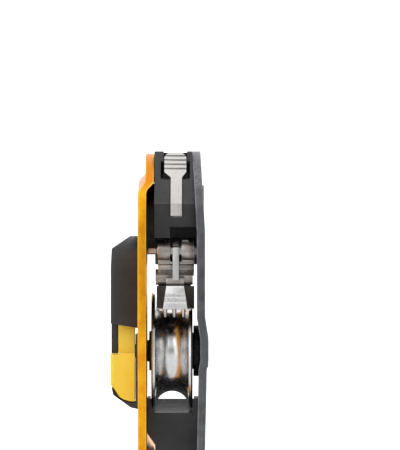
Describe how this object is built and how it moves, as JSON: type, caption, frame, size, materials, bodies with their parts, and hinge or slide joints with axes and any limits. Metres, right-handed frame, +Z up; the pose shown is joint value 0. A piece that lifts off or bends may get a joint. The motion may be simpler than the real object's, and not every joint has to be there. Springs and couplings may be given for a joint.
{
  "type": "progress capture pulley",
  "caption": "Rope clamp pulley used as an ascender: sprung toothed cam over a ball-bearing sheave between a fixed and a swinging side plate with a sliding latch.",
  "frame": {"origin": "centre of the connector hole, on the sheave's middle plane", "axes": "+Z up towards the head, +X from the swinging plate to the fixed plate along the sheave's axle, -Y the side that the cam opens to"},
  "size_m": [0.0315, 0.049, 0.1249],
  "materials": {
    "grey_anodised": "dark grey anodised, fine cast texture",
    "gold_anodised": "satin gold anodised",
    "black_block": "satin moulded",
    "black_anodised": "black anodised",
    "black_plastic": "satin moulded",
    "yellow_plastic": "satin moulded",
    "steel": "ground",
    "bearing_steel": "polished",
    "cam_steel": "satin cast stainless",
    "lever_steel": "satin stainless",
    "sheave_aluminium": "turned",
    "seal_rubber": "matte",
    "cage_plastic": "moulded"
  },
  "bodies": {
    "frame": {"fixed_side_plate": "grey_anodised", "head_block": "black_block", "connector_ring": "black_anodised", "pivot_washer": "black_plastic", "lower_block": "black_block", "aux_ring": "black_anodised", "frame_rivets": "steel", "lever_pin": "steel", "lever_spring": "steel", "cam_axle": "steel", "sheave_axle": "steel", "axle_cap": "black_plastic", "axle_sleeves": "black_plastic", "axle_spacer": "black_plastic", "bearing_inner_ring": "bearing_steel"},
    "swing_plate": {"swing_side_plate": "gold_anodised", "latch_cover": "black_plastic", "latch_base": "black_plastic", "latch_rivets": "steel", "latch_spring": "steel"},
    "button": {"latch_button": "yellow_plastic"},
    "pin": {"locking_pin": "steel"},
    "cam": {"cam": "cam_steel", "cam_spring": "steel"},
    "lever": {"hold_open_lever": "lever_steel"},
    "sheave": {"sheave": "sheave_aluminium", "bearing_outer_ring": "bearing_steel", "bearing_seals": "seal_rubber"},
    "ball_cage": {"bearing_balls": "bearing_steel", "bearing_cage": "cage_plastic"}
  },
  "joints": [
    {"name": "plate_hinge", "type": "hinge", "parent": "frame", "child": "swing_plate", "pos_m": [0, 0, 0], "axis": [-1, 0, 0], "range_deg": [0, 120]},
    {"name": "button_slide", "type": "slide", "parent": "swing_plate", "child": "button", "axis": [0, 0, 1], "range_m": [0, 0.005], "stiffness_N_per_m": 400, "springref_m": -0.002, "deforming": ["latch_spring"]},
    {"name": "pin_slide", "type": "slide", "parent": "swing_plate", "child": "pin", "axis": [-1, 0, 0], "range_m": [0, 0.0018]},
    {"name": "cam_hinge", "type": "hinge", "parent": "frame", "child": "cam", "pos_m": [0.0012, -0.016, -0.0102], "axis": [-1, 0, 0], "range_deg": [-9, 70], "stiffness_Nm_per_rad": 0.03},
    {"name": "lever_hinge", "type": "hinge", "parent": "frame", "child": "lever", "pos_m": [0.00145, -0.0192, 0.0006], "axis": [-1, 0, 0], "range_deg": [0, 10], "stiffness_Nm_per_rad": 0.02, "springref_deg": -5.73},
    {"name": "sheave_spin", "type": "hinge", "parent": "frame", "child": "sheave", "pos_m": [0, 0, -0.0425], "axis": [1, 0, 0], "continuous": true},
    {"name": "cage_spin", "type": "hinge", "parent": "frame", "child": "ball_cage", "pos_m": [0, 0, -0.0425], "axis": [1, 0, 0], "continuous": true}
  ],
  "couplings": [
    {"joint": "pin_slide", "follows": "button_slide", "ratio": 0.36},
    {"joint": "cage_spin", "follows": "sheave_spin", "ratio": 0.41}
  ]
}
